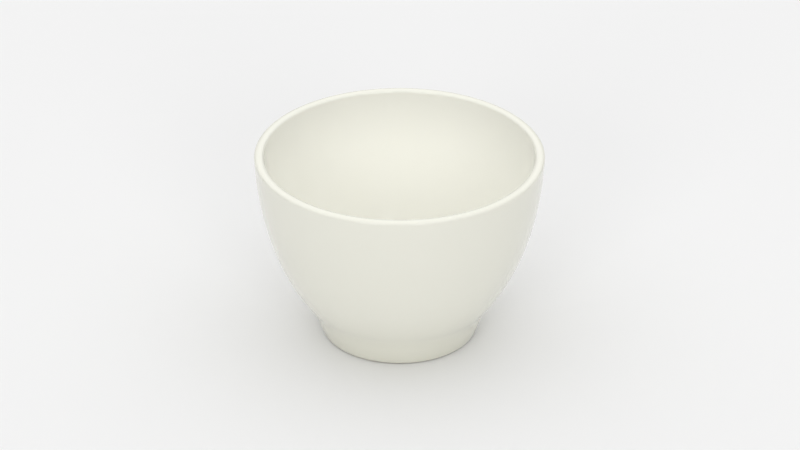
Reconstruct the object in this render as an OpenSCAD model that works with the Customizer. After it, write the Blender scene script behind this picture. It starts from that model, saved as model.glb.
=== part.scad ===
// Handleless latte bowl: a turned clay body with a foot ring, under a cream glaze.
// The bowl is round about Z. It stands on the table at z = 0, with its axis through the origin.
// Sizes are in millimetres, over the glaze unless the line says bare clay.
// A lean is an angle from upright, in degrees.

/* [Bowl] */
// Outside diameter across the rim
rim_d = 120; // [105:1:135]
// Height from the table to the top of the lip
bowl_h = 82; // [72:1:95]
// Thickness of the wall, and width of the lip
wall_t = 4; // [3.2:0.1:5]
// Radius of the lip's two edges
lip_edge_r = 1.1; // [0.8:0.1:1.5]
// Radius of the flatter crown between them
lip_crown_r = 3.2; // [2.6:0.1:6]
// Lean of the wall just below the lip
rim_lean = 2; // [0:0.5:8]
// Lean of the wall at the bottom of the belly, where it turns into the waist
flank_lean = 37; // [32:0.5:42]
// Radius of the hollow waist between belly and foot
waist_r = 25; // [10:1:32]

/* [Inside] */
// Thickness of the floor at the middle
floor_t = 5; // [4:0.1:6.5]
// Lean of the inside where the rounded well turns into the dished floor
well_lean = 82; // [78:0.5:86]

/* [Foot] */
// Diameter of the foot at the table, to the corner that its side would have if it weren't rounded
foot_d = 64; // [56:0.5:72]
// Height of the crease that foot and belly would meet in if there were no waist
foot_h = 11.2; // [9:0.2:14]
// Lean of the side of the foot
foot_lean = 19.5; // [14:0.5:24]
// Radius of the outer edge of the foot ring, bare clay
foot_edge_r = 1.8; // [1.2:0.1:2.4]
// Width of the flat ring that the bowl stands on, bare clay
ring_w = 3.4; // [2.4:0.1:5]
// Radius of the inner edge of the foot ring, bare clay
ring_edge_r = 1; // [0.8:0.1:1.4]
// Depth of the hollow inside the foot ring
recess_h = 3.2; // [2.6:0.1:3.8]
// Lean of the side of that hollow
recess_lean = 20; // [10:1:28]
// Radius between the side and the ceiling of that hollow
recess_r = 2; // [1.2:0.1:2.4]

/* [Glaze] */
// Thickness of the glaze
glaze_t = 0.4; // [0.3:0.05:0.5]
// Height of the lower edge of the glaze above the table
glaze_gap = 0.2; // [0.1:0.05:0.3]

/* [Hidden] */
$fn = 180;

clay_color = [0.86, 0.83, 0.76];
glaze_color = [0.91, 0.91, 0.87];

// Farthest that a curve strays from the straight steps that stand for it
chord_gap = 0.01;

// Points from here on are [distance from the axis, height].
// The outward direction of a wall that leans in by this angle towards the foot
function facing(lean) = [cos(lean), -sin(lean)];

// Lip: two round edges that run into the faces of the wall, and a flatter crown across them.
// lip_c lies between the centres of the edges, in the middle of the wall, and crown_aim is
// the way that the crown faces, counted from straight outwards.
lip_shift = wall_t / 2 - lip_edge_r;
crown_turn = asin(lip_shift / (lip_crown_r - lip_edge_r));
crown_drop = (lip_crown_r - lip_edge_r) * cos(crown_turn);
crown_aim = 90 - rim_lean;
lip_c = [rim_d / 2 - lip_edge_r - lip_shift * cos(rim_lean),
    bowl_h - lip_crown_r + crown_drop * cos(rim_lean)];
lip_outer_c = lip_c + lip_shift * facing(rim_lean);
lip_inner_c = lip_c - lip_shift * facing(rim_lean);
crown_c = lip_c - crown_drop * [sin(rim_lean), cos(rim_lean)];

// Foot: a leaning side, with a round edge on the clay below the end of the glaze
foot_edge_inset = (glaze_t + foot_edge_r * (1 - sin(foot_lean))) / cos(foot_lean);
foot_edge_c = [foot_d / 2 - foot_edge_inset, foot_edge_r];
foot_stop = asin((foot_edge_r - glaze_gap) / (foot_edge_r + glaze_t));

// Waist: a hollow curve that rounds the crease between foot and belly
crease = [foot_d / 2 + foot_h * tan(foot_lean), foot_h];
crease_turn = flank_lean - foot_lean;
waist_c = crease + waist_r / cos(crease_turn / 2) * facing(foot_lean + crease_turn / 2);

// Belly: two arcs, tangent to the lip, to each other and to the waist.
// They meet where the wall leans as much as the straight line from waist to lip does,
// and their radii follow from the two ends.
belly_top = lip_c + wall_t / 2 * facing(rim_lean);
belly_span = belly_top - (waist_c - waist_r * facing(flank_lean));
belly_lean = atan2(belly_span.x, belly_span.y);
upper_turn = facing(rim_lean) - facing(belly_lean);
lower_turn = facing(belly_lean) - facing(flank_lean);
upper_r = cross(belly_span, lower_turn) / cross(upper_turn, lower_turn);
lower_r = cross(upper_turn, belly_span) / cross(upper_turn, lower_turn);
upper_c = belly_top - upper_r * facing(rim_lean);
lower_c = upper_c + (upper_r - lower_r) * facing(belly_lean);

// Inside: below the belly a rounded well runs into a floor that is dished about the axis.
// The dish rises from the middle by this share of the distance from the axis.
dish_share = (1 - sin(well_lean)) / cos(well_lean);
floor_z = recess_h + floor_t;
well_start = lower_c + (lower_r - wall_t) * facing(flank_lean);
well_drop = well_start.y - floor_z - dish_share * well_start.x;
well_r = well_drop / (1 - sin(flank_lean) - dish_share * cos(flank_lean));
well_c = well_start - well_r * facing(flank_lean);
floor_r = well_r + well_c.x / cos(well_lean);
floor_c = [0, floor_z + floor_r];

// Underside: the standing ring and the hollow inside it
ring_edge_c = [foot_edge_c.x - ring_w, ring_edge_r];
ring_stop = asin((ring_edge_r - glaze_gap) / (ring_edge_r + glaze_t));
recess_c_z = recess_h - recess_r;
recess_side = ring_edge_r + glaze_t + recess_r + (recess_c_z - ring_edge_r) * sin(recess_lean);
recess_c = [ring_edge_c.x - recess_side / cos(recess_lean), recess_c_z];

// Points along an arc, its angles counted from straight outwards, positive upwards
function arc(centre, radius, from, to) =
    let (steps = ceil(abs(to - from) / (2 * acos(1 - chord_gap / radius))))
    [for (i = [0 : steps])
        let (angle = from + (to - from) * i / steps)
        centre + radius * [cos(angle), sin(angle)]];

// The same points without the second of any two that fall together
function distinct(points) =
    [for (i = [0 : len(points) - 1])
        if (i == 0 || norm(points[i] - points[i - 1]) > chord_gap) points[i]];

function reversed(points) = [for (i = [len(points) - 1 : -1 : 0]) points[i]];

// From the end of the glaze on the foot, up the outside, over the lip and down to the middle
// of the floor, at this depth below the surface
function coat_surface(depth) = distinct(concat(
    arc(foot_edge_c, foot_edge_r + glaze_t - depth, -foot_stop, -foot_lean),
    arc(waist_c, waist_r + depth, 180 - foot_lean, 180 - flank_lean),
    arc(lower_c, lower_r - depth, -flank_lean, -belly_lean),
    arc(upper_c, upper_r - depth, -belly_lean, -rim_lean),
    arc(lip_outer_c, lip_edge_r - depth, -rim_lean, crown_aim - crown_turn),
    arc(crown_c, lip_crown_r - depth, crown_aim - crown_turn, crown_aim + crown_turn),
    arc(lip_inner_c, lip_edge_r - depth, crown_aim + crown_turn, 180 - rim_lean),
    arc(upper_c, upper_r - wall_t + depth, -rim_lean, -belly_lean),
    arc(lower_c, lower_r - wall_t + depth, -belly_lean, -flank_lean),
    arc(well_c, well_r + depth, -flank_lean, -well_lean),
    arc(floor_c, floor_r + depth, -well_lean, -90)));

// From the middle of the underside out to the end of its glaze on the foot ring
function base_surface(depth) = distinct(concat(
    [[0, recess_h + depth]],
    arc(recess_c, recess_r + depth, 90, recess_lean),
    arc(ring_edge_c, ring_edge_r + glaze_t - depth, 180 + recess_lean, 180 + ring_stop)));

// The standing ring between the two ends of the glaze, in bare clay
function bare_ring() = distinct(concat(
    arc(ring_edge_c, ring_edge_r, 180 + ring_stop, 270),
    arc(foot_edge_c, foot_edge_r, -90, -foot_stop)));

// Fired clay: wall, floor and foot ring in one turned piece
module clay_body() {
    color(clay_color)
        rotate_extrude()
            polygon(distinct(concat(
                coat_surface(glaze_t), base_surface(glaze_t), bare_ring())));
}

// Glaze over the outside, the lip and the inside, in one skin
module glaze_coat() {
    color(glaze_color)
        rotate_extrude()
            polygon(concat(coat_surface(0), reversed(coat_surface(glaze_t))));
}

// Glaze on the underside, inside the foot ring
module base_glaze() {
    color(glaze_color)
        rotate_extrude()
            polygon(concat(base_surface(0), reversed(base_surface(glaze_t))));
}

clay_body();
glaze_coat();
base_glaze();
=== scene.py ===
# %% [markdown]
# # A cream latte bowl
# The object is a handleless bowl for a milky coffee. Clay is turned to a round wall on a foot ring, covered
# with a cream glaze and fired, and the ring that it stands on is wiped clean so that it doesn't stick to
# the kiln shelf. The lesson follows the same order: first the sizes, then the section that every turned
# piece comes from, then the clay, its two skins of glaze, their finishes and the light.

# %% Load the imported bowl
import math

import bmesh
import bpy
from mathutils import Matrix, Vector


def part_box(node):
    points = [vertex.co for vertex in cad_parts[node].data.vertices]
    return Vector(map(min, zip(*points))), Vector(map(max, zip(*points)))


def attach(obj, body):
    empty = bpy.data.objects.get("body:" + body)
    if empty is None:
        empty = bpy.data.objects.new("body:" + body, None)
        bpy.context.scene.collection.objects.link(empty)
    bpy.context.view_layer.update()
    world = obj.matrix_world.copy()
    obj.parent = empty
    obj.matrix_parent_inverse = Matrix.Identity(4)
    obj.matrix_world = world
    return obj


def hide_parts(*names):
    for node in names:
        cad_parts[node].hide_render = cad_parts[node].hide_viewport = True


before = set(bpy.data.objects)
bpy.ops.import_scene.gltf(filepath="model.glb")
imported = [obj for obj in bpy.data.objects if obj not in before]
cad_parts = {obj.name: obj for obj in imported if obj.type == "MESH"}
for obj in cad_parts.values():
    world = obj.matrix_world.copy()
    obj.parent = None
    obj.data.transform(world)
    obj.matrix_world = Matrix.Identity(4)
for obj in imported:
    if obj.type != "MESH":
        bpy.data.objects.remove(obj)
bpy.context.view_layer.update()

print("pieces in the frame:", sorted(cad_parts))

# %% [markdown]
# ## Sizes that the frame gives
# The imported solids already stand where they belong, so the main sizes are read from their boxes and
# not typed again. The glaze lies on the clay, so the height of the one less the height of the other
# is the thickness of the glaze.

# %% Read the main sizes
coat_low, coat_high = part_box("glaze_coat")
_, clay_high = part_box("clay_body")
_, base_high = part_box("base_glaze")

rim_radius = coat_high.x
bowl_height = coat_high.z
glaze_thickness = coat_high.z - clay_high.z
glaze_gap = coat_low.z
recess_height = base_high.z - glaze_thickness
print(f"rim radius {rim_radius:.5f}, height {bowl_height:.5f}, glaze {glaze_thickness:.5f} thick")

# %% [markdown]
# ## The camera
# The photograph looks down on the bowl at about 29 degrees, from far away: the two sides of the bowl
# hardly draw together. So the camera stands two metres off with a long lens. It only has to point at
# the axis, a little above the middle of the bowl, so its place follows from a distance and an angle.

# %% Stand the camera where the photograph was taken
camera_distance = 2.0
camera_elevation = math.radians(28.9)
camera_target = Vector((0.0002, 0, 0.04819))
# Lens and sensor are in millimetres
camera_lens = 216.55
camera_sensor = 36

camera_data = bpy.data.cameras.new("photo_camera")
camera_data.sensor_width = camera_sensor
camera_data.lens = camera_lens
camera = bpy.data.objects.new("photo_camera", camera_data)
camera_step = Vector((0, -math.cos(camera_elevation), math.sin(camera_elevation)))
camera.location = camera_target + camera_distance * camera_step
camera.rotation_euler = (math.pi / 2 - camera_elevation, 0, 0)
bpy.context.scene.collection.objects.link(camera)
bpy.context.scene.camera = camera
print("camera at", [round(value, 3) for value in camera.location])

# %% [markdown]
# ## The outside of the section
# A turned bowl is one section carried round an axis, so all the shaping happens in two dimensions:
# a point here is its distance from the axis and its height. The lip is softly flattened, as a wet sponge
# leaves it: two small round edges with a flatter crown across them. Below it the wall stands nearly
# upright, leans in more and more down the belly, swings back in a hollow waist and ends in a tapered foot.
# Each stretch is an arc, apart from the straight side of the foot, and neighbours share the direction in
# which the wall faces, so that light runs over the joins without a step.

# %% Lip and foot
wall_thickness = 0.004
lip_edge_radius = 0.0011
crown_radius = 0.0032
rim_lean = math.radians(2)
foot_radius = 0.032
foot_lean = math.radians(19.5)
foot_edge_radius = 0.0018


def facing(lean):
    """The way that a wall faces, as outwards and upwards, if it leans in by this angle below."""
    return Vector((math.cos(lean), -math.sin(lean)))


edge_shift = wall_thickness / 2 - lip_edge_radius
crown_turn = math.asin(edge_shift / (crown_radius - lip_edge_radius))
crown_drop = (crown_radius - lip_edge_radius) * math.cos(crown_turn)
wall_upward = Vector((math.sin(rim_lean), math.cos(rim_lean)))
lip_centre = Vector((
    rim_radius - lip_edge_radius - edge_shift * math.cos(rim_lean),
    bowl_height - crown_radius + crown_drop * math.cos(rim_lean)))
outer_lip_centre = lip_centre + edge_shift * facing(rim_lean)
inner_lip_centre = lip_centre - edge_shift * facing(rim_lean)
crown_centre = lip_centre - crown_drop * wall_upward

foot_edge_full = foot_edge_radius + glaze_thickness
foot_edge_side = glaze_thickness + foot_edge_radius * (1 - math.sin(foot_lean))
foot_edge_centre = Vector((foot_radius - foot_edge_side / math.cos(foot_lean), foot_edge_radius))
foot_glaze_end = math.asin((foot_edge_radius - glaze_gap) / foot_edge_full)
print("lip centre", [round(value, 5) for value in lip_centre])
print("foot edge centre", [round(value, 5) for value in foot_edge_centre])

# %% Waist and belly
foot_height = 0.0112
flank_lean = math.radians(37)
waist_radius = 0.025

crease = Vector((foot_radius + foot_height * math.tan(foot_lean), foot_height))
crease_lean = (foot_lean + flank_lean) / 2
waist_centre = crease + waist_radius / math.cos(flank_lean - crease_lean) * facing(crease_lean)

belly_top = lip_centre + wall_thickness / 2 * facing(rim_lean)
belly_foot = waist_centre - waist_radius * facing(flank_lean)
belly_span = belly_top - belly_foot
belly_lean = math.atan2(belly_span.x, belly_span.y)
upper_turn = facing(rim_lean) - facing(belly_lean)
lower_turn = facing(belly_lean) - facing(flank_lean)
upper_radius = belly_span.cross(lower_turn) / upper_turn.cross(lower_turn)
lower_radius = upper_turn.cross(belly_span) / upper_turn.cross(lower_turn)
upper_centre = belly_top - upper_radius * facing(rim_lean)
lower_centre = upper_centre + (upper_radius - lower_radius) * facing(belly_lean)
print(f"belly arcs of {upper_radius:.4f} and {lower_radius:.4f}")
print(f"they meet where the wall leans by {math.degrees(belly_lean):.1f} degrees")

# %% [markdown]
# ## The inside and the underside
# Inside, the wall keeps its thickness down to the flank. From there a rounded well runs out into a
# floor that is slightly dished, so that a spoon finds no corner. Underneath, the foot ring stands
# round a shallow hollow. Both are drawn with the same kind of tangent arcs.

# %% Well and floor
floor_thickness = 0.005
well_lean = math.radians(82)

dish_share = (1 - math.sin(well_lean)) / math.cos(well_lean)
floor_height = recess_height + floor_thickness
well_top = lower_centre + (lower_radius - wall_thickness) * facing(flank_lean)
well_drop = well_top.y - floor_height - dish_share * well_top.x
well_radius = well_drop / (1 - math.sin(flank_lean) - dish_share * math.cos(flank_lean))
well_centre = well_top - well_radius * facing(flank_lean)
floor_radius = well_radius + well_centre.x / math.cos(well_lean)
floor_centre = Vector((0, floor_height + floor_radius))
print(f"well of {well_radius:.4f}, floor dished to {floor_radius:.4f}")

# %% Standing ring and recess
ring_width = 0.0034
ring_edge_radius = 0.001
recess_lean = math.radians(20)
recess_radius = 0.002

ring_edge_full = ring_edge_radius + glaze_thickness
ring_edge_centre = Vector((foot_edge_centre.x - ring_width, ring_edge_radius))
ring_glaze_end = math.asin((ring_edge_radius - glaze_gap) / ring_edge_full)
recess_rise = recess_height - recess_radius - ring_edge_radius
recess_side = ring_edge_full + recess_radius + recess_rise * math.sin(recess_lean)
recess_centre = Vector((
    ring_edge_centre.x - recess_side / math.cos(recess_lean), recess_height - recess_radius))
recess_facing = Vector((math.cos(recess_lean), math.sin(recess_lean)))
print("ring edge centre", [round(value, 5) for value in ring_edge_centre])
print("recess centre", [round(value, 5) for value in recess_centre])

# %% [markdown]
# ## Drawing a section with one vertex
# The section could be typed as a list of points, but a compass does it better. One vertex is spun about
# the centre of each arc, and Blender leaves an edge behind it at every step. All surfaces of the bowl
# are the same turns about the same centres: started deeper, they draw the clay under the glaze.

# %% A compass and a ruler for sections
longest_step = 0.0015
widest_step = math.radians(7.5)


def start_section(point):
    """A new mesh that holds one vertex at this point of the section, and that vertex."""
    mesh = bmesh.new()
    tip = mesh.verts.new((point.x, 0, point.y))
    return mesh, tip


def place_of(tip):
    """Where a vertex lies in the section."""
    return Vector((tip.co.x, tip.co.z))


def sweep(mesh, tip, centre, turn):
    """Swings the tip about a centre, upwards for a positive turn, and returns the new tip."""
    radius = (place_of(tip) - centre).length
    steps = math.ceil(abs(turn) / min(widest_step, longest_step / radius))
    swung = bmesh.ops.spin(
        mesh, geom=[tip], cent=(centre.x, 0, centre.y), axis=(0, -1, 0), angle=turn, steps=steps)
    return swung["geom_last"][0]


def reach(mesh, tip, point):
    """Draws a straight line from the tip to a point, in short steps, and returns the new tip."""
    way = point - place_of(tip)
    steps = math.ceil(way.length / longest_step)
    for _ in range(steps):
        drawn = bmesh.ops.extrude_vert_indiv(mesh, verts=[tip])
        tip = drawn["verts"][0]
        bmesh.ops.translate(mesh, verts=[tip], vec=(way.x / steps, 0, way.y / steps))
    return tip


print(f"steps of at most {longest_step} m and {math.degrees(widest_step):.1f} degrees")

# %% From the middle of the floor to the foot
well_turn = well_lean - flank_lean
lower_bend = flank_lean - belly_lean
upper_bend = belly_lean - rim_lean


def draw_coated_face(depth):
    """The face that the main glaze covers, at a depth below it, from the floor out to the foot's side."""
    mesh, tip = start_section(Vector((0, floor_height - depth)))
    tip = sweep(mesh, tip, floor_centre, math.pi / 2 - well_lean)
    tip = sweep(mesh, tip, well_centre, well_turn)
    tip = sweep(mesh, tip, lower_centre, lower_bend)
    tip = sweep(mesh, tip, upper_centre, upper_bend)
    tip = sweep(mesh, tip, inner_lip_centre, crown_turn - math.pi / 2)
    tip = sweep(mesh, tip, crown_centre, -2 * crown_turn)
    tip = sweep(mesh, tip, outer_lip_centre, crown_turn - math.pi / 2)
    tip = sweep(mesh, tip, upper_centre, -upper_bend)
    tip = sweep(mesh, tip, lower_centre, -lower_bend)
    tip = sweep(mesh, tip, waist_centre, flank_lean - foot_lean)
    tip = reach(mesh, tip, foot_edge_centre + (foot_edge_full - depth) * facing(foot_lean))
    return mesh, tip


print(f"belly arcs turn by {math.degrees(lower_bend):.1f} and {math.degrees(upper_bend):.1f} degrees")

# %% [markdown]
# ## Turning the section on the wheel
# A full spin round the upright axis makes the body, as a wheel does. The first and last copies fall
# together and so do all copies of a point on the axis, so they are merged. Merged faces may look either
# way, so their normals are set to face outwards before anything gets a thickness.

# %% The wheel
wheel_steps = 192
merge_distance = 0.000001


def turn_on_wheel(mesh):
    """Spins a section once round the bowl's axis and closes the seam and the middle."""
    bmesh.ops.spin(
        mesh, geom=mesh.verts[:] + mesh.edges[:], cent=(0, 0, 0), axis=(0, 0, 1),
        angle=math.tau, steps=wheel_steps, use_merge=True)
    bmesh.ops.remove_doubles(mesh, verts=mesh.verts[:], dist=merge_distance)
    bmesh.ops.recalc_face_normals(mesh, faces=mesh.faces[:])


def finished_object(name, mesh):
    """Makes an object of a mesh, with its faces shaded smooth."""
    for face in mesh.faces:
        face.smooth = True
    data = bpy.data.meshes.new(name)
    mesh.to_mesh(data)
    mesh.free()
    piece = bpy.data.objects.new(name, data)
    bpy.context.scene.collection.objects.link(piece)
    print(f"{name}: {len(data.vertices)} vertices, {len(data.polygons)} faces")
    return piece


print("one turn of the wheel takes", wheel_steps, "steps")

# %% [markdown]
# ## The fired clay
# The clay is one closed body: wall, floor and foot ring. Only the standing ring shows, a matte band a
# few millimetres wide. The rest lies under the glaze, but it is drawn all the same, because the bowl is
# kept as separate pieces and each has to be whole by itself.

# %% Turn the clay
mesh, tip = draw_coated_face(glaze_thickness)
tip = sweep(mesh, tip, foot_edge_centre, foot_lean - math.pi / 2)
tip = reach(mesh, tip, ring_edge_centre - Vector((0, ring_edge_radius)))
tip = sweep(mesh, tip, ring_edge_centre, recess_lean - math.pi / 2)
tip = reach(mesh, tip, recess_centre + (recess_radius + glaze_thickness) * recess_facing)
tip = sweep(mesh, tip, recess_centre, math.pi / 2 - recess_lean)
tip = reach(mesh, tip, Vector((0, recess_height + glaze_thickness)))
turn_on_wheel(mesh)
clay = finished_object("fired_clay_body", mesh)

# %% [markdown]
# ## The glaze skins
# Glaze is a skin of glass, less than half a millimetre thick. It is turned as a sheet and then given its
# thickness inwards, so that its outer face keeps the bowl's true size. Its wiped edge on the foot isn't
# quite level and, drawn in by its surface tension, it ends in a round bead. So the last rows of the sheet
# are swung up a little by an uneven amount, and the sharp edges at the end are bevelled.

# %% Helpers for the edge of a glaze
uneven_share = 0.35
bead_share = 0.42
bead_segments = 4
sharp_angle = math.radians(60)
wipe_mean = 0.5
# Waves of the wiped edge about that mean: how many there are round the foot, how high and where they start
wipe_waves = ((3, 0.22, 0.8), (7, 0.16, 2.1), (16, 0.12, 0))


def unevenness(azimuth):
    """How far the glaze was wiped back at this place round the foot, from 0 to 1."""
    waves = [wave * math.sin(count * azimuth + start) for count, wave, start in wipe_waves]
    return wipe_mean + sum(waves)


def wipe_edge(mesh, centre, start_angle, top):
    """Swings the rows of a sheet below the top of a foot edge back towards the angle where it starts."""
    for vert in mesh.verts:
        if vert.co.z > top:
            continue
        outward = Vector((vert.co.x, vert.co.y, 0))
        azimuth = math.atan2(vert.co.y, vert.co.x)
        angle = math.atan2(vert.co.z - centre.y, outward.length - centre.x) % math.tau
        back = uneven_share * unevenness(azimuth) * (start_angle % math.tau - angle)
        pivot = outward.normalized() * centre.x + Vector((0, 0, centre.y))
        axis = Vector((math.sin(azimuth), -math.cos(azimuth), 0))
        vert.co = pivot + Matrix.Rotation(back, 3, axis) @ (vert.co - pivot)


def thicken_glaze(mesh):
    """Gives a sheet of glaze its thickness inwards and rounds its end to a bead."""
    bmesh.ops.solidify(mesh, geom=mesh.faces[:], thickness=glaze_thickness)
    ends = [edge for edge in mesh.edges if edge.calc_face_angle(0) > sharp_angle]
    bmesh.ops.bevel(
        mesh, geom=ends, offset=bead_share * glaze_thickness, segments=bead_segments, profile=0.5,
        affect="EDGES", material=-1)


print(f"the bead at the end of the glaze is rounded by {bead_share * glaze_thickness:.6f}")

# %% Glaze over the outside, the lip and the inside
mesh, tip = draw_coated_face(0)
tip = sweep(mesh, tip, foot_edge_centre, foot_lean - foot_glaze_end)
turn_on_wheel(mesh)
foot_edge_top = foot_edge_centre.y - foot_edge_full * math.sin(foot_lean)
wipe_edge(mesh, foot_edge_centre, -foot_lean, foot_edge_top)
thicken_glaze(mesh)
coat = finished_object("cream_glaze_coat", mesh)

# %% Glaze on the underside
mesh, tip = start_section(Vector((0, recess_height)))
tip = reach(mesh, tip, recess_centre + Vector((0, recess_radius)))
tip = sweep(mesh, tip, recess_centre, recess_lean - math.pi / 2)
tip = reach(mesh, tip, ring_edge_centre - ring_edge_full * recess_facing)
ring_edge_top = tip.co.z
tip = sweep(mesh, tip, ring_edge_centre, ring_glaze_end - recess_lean)
turn_on_wheel(mesh)
bmesh.ops.reverse_faces(mesh, faces=mesh.faces[:])
wipe_edge(mesh, ring_edge_centre, math.pi + recess_lean, ring_edge_top)
thicken_glaze(mesh)
underside = finished_object("underside_glaze", mesh)

# %% [markdown]
# ## Painted light inside
# The inside of the bowl is painted paler and whiter than the outside: painted light, for the brighter light
# that falls inside it. The paint has to know which is which, so each vertex carries a number: 1 inside,
# where the light is painted, 0 outside. The inside looks upwards and lies within the middle of the lip. So
# does the back of the outer coat, but it lies hidden on the clay. Over the inner edge of the lip the two
# tones run together.

# %% Mark the inside, where light is painted
lip_blend_depth = 0.0014

painted_inside_light = coat.data.attributes.new("painted_inside_light", "FLOAT", "POINT")
for vert in coat.data.vertices:
    below_lip = min(max((bowl_height - vert.co.z) / lip_blend_depth, 0), 1)
    is_inside = vert.normal.z > 0 and vert.co.xy.length < lip_centre.x
    painted_inside_light.data[vert.index].value = below_lip if is_inside else 0
print("poured vertices:", sum(entry.value > 0 for entry in painted_inside_light.data), "of", len(painted_inside_light.data))

# %% [markdown]
# ## Helpers for paint
# Paint could follow a map of the surface, but here it is placed by where a point lies on the bowl. That
# needs no map, leaves no seam and looks the same from every side. The bowl's coordinates are in metres, so
# a texture of scale 45 has patches of about two centimetres. Fine relief is a bump: it changes how light
# falls on the mesh, which stays as it is.

# %% Materials, noise and bumps
def new_material(name):
    """An empty node material, with its nodes, its links and its shader."""
    material = bpy.data.materials.new(name)
    material.use_nodes = True
    nodes = material.node_tree.nodes
    return material, nodes, material.node_tree.links, nodes["Principled BSDF"]


def add_noise(place, scale, detail):
    """A cloudy texture that is placed by the bowl's own coordinates."""
    tree = place.id_data
    noise = tree.nodes.new("ShaderNodeTexNoise")
    noise.inputs["Scale"].default_value = scale
    noise.inputs["Detail"].default_value = detail
    tree.links.new(place.outputs["Object"], noise.inputs["Vector"])
    return noise


def add_bump(texture, strength, depth):
    """Relief that follows a texture, up to this depth in metres."""
    tree = texture.id_data
    bump = tree.nodes.new("ShaderNodeBump")
    bump.inputs["Strength"].default_value = strength
    bump.inputs["Distance"].default_value = depth
    tree.links.new(texture.outputs["Fac"], bump.inputs["Height"])
    return bump


# %% [markdown]
# ## The cream glaze
# A fired glaze is a layer of coloured glass: a soft cream under a clear, hard gloss. It is never quite
# even: it clouds a little, and its skin has the faint waviness of an orange peel. Shade is painted into
# its colour too: it is painted deeper in tone low down, towards the foot and in the bottom of the bowl.
# Painted shade, cloud and the painted light inside are shares of one number, and a colour ramp turns their
# sum into the tone.

# %% Painted shade low down, and clouds of the glaze
# Below this height the glaze is painted darker: painted shade towards the foot and the bottom of the bowl
painted_shade_height = 0.03
painted_shade_share = 0.35
cloud_scale = 45
cloud_detail = 4
cloud_share = 0.1

glaze, nodes, links, shader = new_material("cream_glaze")
place = nodes.new("ShaderNodeTexCoord")
height = nodes.new("ShaderNodeSeparateXYZ")
links.new(place.outputs["Object"], height.inputs["Vector"])

painted_low_shade = nodes.new("ShaderNodeMapRange")
painted_low_shade.inputs["From Max"].default_value = painted_shade_height
painted_low_shade.inputs["To Max"].default_value = painted_shade_share
links.new(height.outputs["Z"], painted_low_shade.inputs["Value"])

clouds = add_noise(place, cloud_scale, cloud_detail)
clouds_and_shade = nodes.new("ShaderNodeMath")
clouds_and_shade.operation = "MULTIPLY_ADD"
clouds_and_shade.inputs[1].default_value = cloud_share
links.new(clouds.outputs["Fac"], clouds_and_shade.inputs[0])
links.new(painted_low_shade.outputs["Result"], clouds_and_shade.inputs[2])
print("the glaze deepens below a height of", painted_shade_height)

# %% Tones of the glaze, from painted shade low down to painted light inside
# The pale tone is painted light, reached inside the bowl, and the deep tone is painted shade, reached low
# down
glaze_pale_lit = (0.94, 0.935, 0.875, 1)
glaze_cream = (0.89, 0.885, 0.79, 1)
glaze_deep_shaded = (0.865, 0.858, 0.75, 1)
inside_light_share = 0.55

# Painted light: this number makes the inside paler and whiter than the outside
inside_light_mask = nodes.new("ShaderNodeAttribute")
inside_light_mask.attribute_name = "painted_inside_light"
light_shade_and_clouds = nodes.new("ShaderNodeMath")
light_shade_and_clouds.operation = "MULTIPLY_ADD"
light_shade_and_clouds.inputs[1].default_value = inside_light_share
links.new(inside_light_mask.outputs["Fac"], light_shade_and_clouds.inputs[0])
links.new(clouds_and_shade.outputs["Value"], light_shade_and_clouds.inputs[2])

tone = nodes.new("ShaderNodeValToRGB")
tone.color_ramp.elements[0].color = glaze_deep_shaded
tone.color_ramp.elements[1].color = glaze_pale_lit
middle = tone.color_ramp.elements.new(painted_shade_share + cloud_share / 2)
middle.color = glaze_cream
links.new(light_shade_and_clouds.outputs["Value"], tone.inputs["Fac"])
links.new(tone.outputs["Color"], shader.inputs["Base Color"])
print("glaze tones from", glaze_deep_shaded[:3], "to", glaze_pale_lit[:3])

# %% Gloss and skin of the glaze
glaze_ior = 1.5
gloss_scale = 90
gloss_detail = 3
gloss_smoothest = 0.06
gloss_roughest = 0.13
peel_scale = 420
peel_detail = 1
peel_strength = 0.1
peel_depth = 0.0001

shader.inputs["IOR"].default_value = glaze_ior
gloss_spots = add_noise(place, gloss_scale, gloss_detail)
gloss = nodes.new("ShaderNodeMapRange")
gloss.inputs["To Min"].default_value = gloss_smoothest
gloss.inputs["To Max"].default_value = gloss_roughest
links.new(gloss_spots.outputs["Fac"], gloss.inputs["Value"])
links.new(gloss.outputs["Result"], shader.inputs["Roughness"])

peel = add_noise(place, peel_scale, peel_detail)
skin = add_bump(peel, peel_strength, peel_depth)
links.new(skin.outputs["Normal"], shader.inputs["Normal"])
print("gloss with a roughness from", gloss_smoothest, "to", gloss_roughest)

# %% [markdown]
# ## The bare clay
# Where it isn't glazed, fired clay is matte and slightly rough: a pale stone colour with fine grain, a
# few darker specks and the rings that the turning tool left. The rings are waves about the Z axis of the
# bowl's own coordinates, which is the axis that it was turned on.

# %% Tone and grain of the clay
clay_pale = (0.72, 0.67, 0.57, 1)
clay_warm = (0.66, 0.59, 0.47, 1)
clay_roughness = 0.85
grain_scale = 1500
grain_detail = 3

stone, nodes, links, shader = new_material("bare_clay")
shader.inputs["Roughness"].default_value = clay_roughness
place = nodes.new("ShaderNodeTexCoord")
grain = add_noise(place, grain_scale, grain_detail)
body_tone = nodes.new("ShaderNodeMix")
body_tone.data_type = "RGBA"
body_tone.inputs["A"].default_value = clay_pale
body_tone.inputs["B"].default_value = clay_warm
links.new(grain.outputs["Fac"], body_tone.inputs["Factor"])
print("clay from", clay_warm[:3], "to", clay_pale[:3])

# %% Specks in the clay
speck_colour = (0.42, 0.35, 0.26, 1)
speck_scale = 1600
speck_detail = 0
# The noise runs from 0 to 1, and only its peaks above the first of these become specks
speck_start = 0.68
speck_full = 0.78

speckle = add_noise(place, speck_scale, speck_detail)
speck_mask = nodes.new("ShaderNodeMapRange")
speck_mask.inputs["From Min"].default_value = speck_start
speck_mask.inputs["From Max"].default_value = speck_full
links.new(speckle.outputs["Fac"], speck_mask.inputs["Value"])

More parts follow.
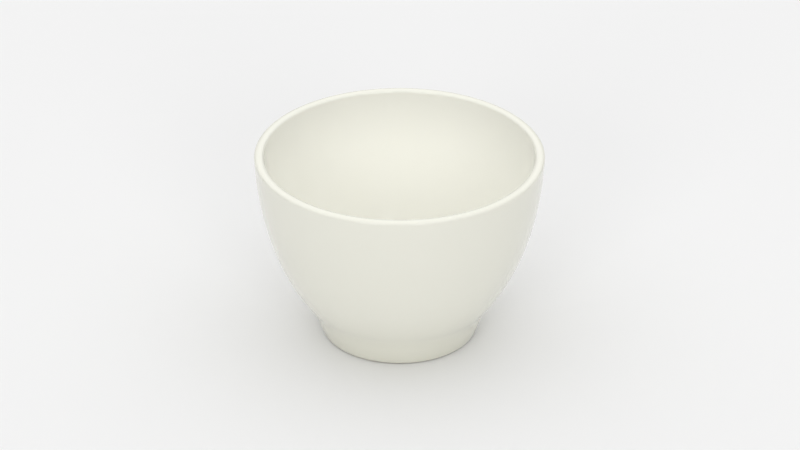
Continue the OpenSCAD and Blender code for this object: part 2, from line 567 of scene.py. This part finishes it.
specked = nodes.new("ShaderNodeMix")
specked.data_type = "RGBA"
specked.inputs["B"].default_value = speck_colour
links.new(speck_mask.outputs["Result"], specked.inputs["Factor"])
links.new(body_tone.outputs["Result"], specked.inputs["A"])
links.new(specked.outputs["Result"], shader.inputs["Base Color"])
print("specks of", speck_colour[:3])

# %% Turning rings and relief of the clay
turning_scale = 500
turning_distortion = 1.5
turning_strength = 0.35
turning_depth = 0.00005
grain_strength = 0.5
grain_depth = 0.00008

rings = nodes.new("ShaderNodeTexWave")
rings.wave_type = "RINGS"
rings.rings_direction = "Z"
rings.inputs["Scale"].default_value = turning_scale
rings.inputs["Distortion"].default_value = turning_distortion
links.new(place.outputs["Object"], rings.inputs["Vector"])

ring_bump = add_bump(rings, turning_strength, turning_depth)
grain_bump = add_bump(grain, grain_strength, grain_depth)
links.new(ring_bump.outputs["Normal"], grain_bump.inputs["Normal"])
links.new(grain_bump.outputs["Normal"], shader.inputs["Normal"])
print(f"relief of {turning_depth:.5f} for the rings and {grain_depth:.5f} for the grain")

# %% [markdown]
# ## Dressing the frame
# Each new piece takes the place of the solid it was drawn from, moves with the bowl's one body and takes
# its finish, so that the bowl stays one assembly in every tool.

# %% Put each piece in place
for piece, node, slot, finish in (
        (clay, "clay_body", "clay", stone),
        (coat, "glaze_coat", "glaze", glaze),
        (underside, "base_glaze", "glaze", glaze)):
    piece.data.materials.append(finish)
    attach(piece, "root")
    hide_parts(node)
    print(piece.name, "stands for", node)

# %% [markdown]
# ## Floor and light
# A pale bowl on a pale floor shows its shape by shading alone, so the light mustn't come from everywhere.
# In the photograph the far inside and the front are brightest, the sides fall off and the lip shines all
# round. A dome of light that is dark near the horizon does most of that. Behind the bowl it reaches lower,
# like a white paper sweep, and the lip mirrors it. Two softboxes beside the camera light the front. The
# floor is plain pale paper, wide enough to fill the picture in low views too, and the level is set so that
# it shows about its own colour.

# %% Floor
paper_radius = 30
paper_segments = 64
paper_tone = (0.87, 0.87, 0.87, 1)
paper_roughness = 0.9

mesh = bmesh.new()
bmesh.ops.create_circle(mesh, cap_ends=True, segments=paper_segments, radius=paper_radius)
floor = finished_object("studio_floor", mesh)
paper, _, _, shader = new_material("floor_paper")
shader.inputs["Base Color"].default_value = paper_tone
shader.inputs["Roughness"].default_value = paper_roughness
floor.data.materials.append(paper)

# %% Dome of light
dome_colour = (1, 1, 1, 1)
dome_strength = 1.18
# The dome brightens between two angles above the horizon, which are compared as heights on a unit sphere
dome_edge_low = math.sin(math.radians(14))
dome_edge_high = math.sin(math.radians(48))
rear_reach = 0.22

world = bpy.data.worlds.new("studio_dome")
world.use_nodes = True
nodes = world.node_tree.nodes
links = world.node_tree.links
direction = nodes.new("ShaderNodeTexCoord")
upward = nodes.new("ShaderNodeSeparateXYZ")
links.new(direction.outputs["Generated"], upward.inputs["Vector"])
dome = nodes.new("ShaderNodeMapRange")
dome.interpolation_type = "SMOOTHSTEP"
dome.inputs["From Min"].default_value = dome_edge_low
dome.inputs["From Max"].default_value = dome_edge_high
dome.inputs["To Max"].default_value = dome_strength

sweep_behind = nodes.new("ShaderNodeMapRange")
sweep_behind.inputs["To Max"].default_value = rear_reach
links.new(upward.outputs["Y"], sweep_behind.inputs["Value"])
raised = nodes.new("ShaderNodeMath")
raised.operation = "ADD"
links.new(upward.outputs["Z"], raised.inputs[0])
links.new(sweep_behind.outputs["Result"], raised.inputs[1])
links.new(raised.outputs["Value"], dome.inputs["Value"])
nodes["Background"].inputs["Color"].default_value = dome_colour
links.new(dome.outputs["Result"], nodes["Background"].inputs["Strength"])
bpy.context.scene.world = world
print("dome of strength", dome_strength)

# %% Softboxes
left_azimuth = math.radians(-21)
right_azimuth = math.radians(16.5)
softbox_elevation = math.radians(22)
softbox_width = math.radians(20)
softbox_strength = 0.38

for name, azimuth in (("left_softbox", left_azimuth), ("right_softbox", right_azimuth)):
    lamp = bpy.data.lights.new(name, "SUN")
    lamp.angle = softbox_width
    lamp.energy = softbox_strength
    light = bpy.data.objects.new(name, lamp)
    light.rotation_euler = (math.pi / 2 - softbox_elevation, 0, azimuth)
    bpy.context.scene.collection.objects.link(light)
    print(f"{name} at {math.degrees(azimuth):.1f} degrees round from the camera")

# %% [markdown]
# ## Colour view
# Blender's standard view transform is set for the picture.

# %% Finish
bpy.context.scene.view_settings.view_transform = "Standard"
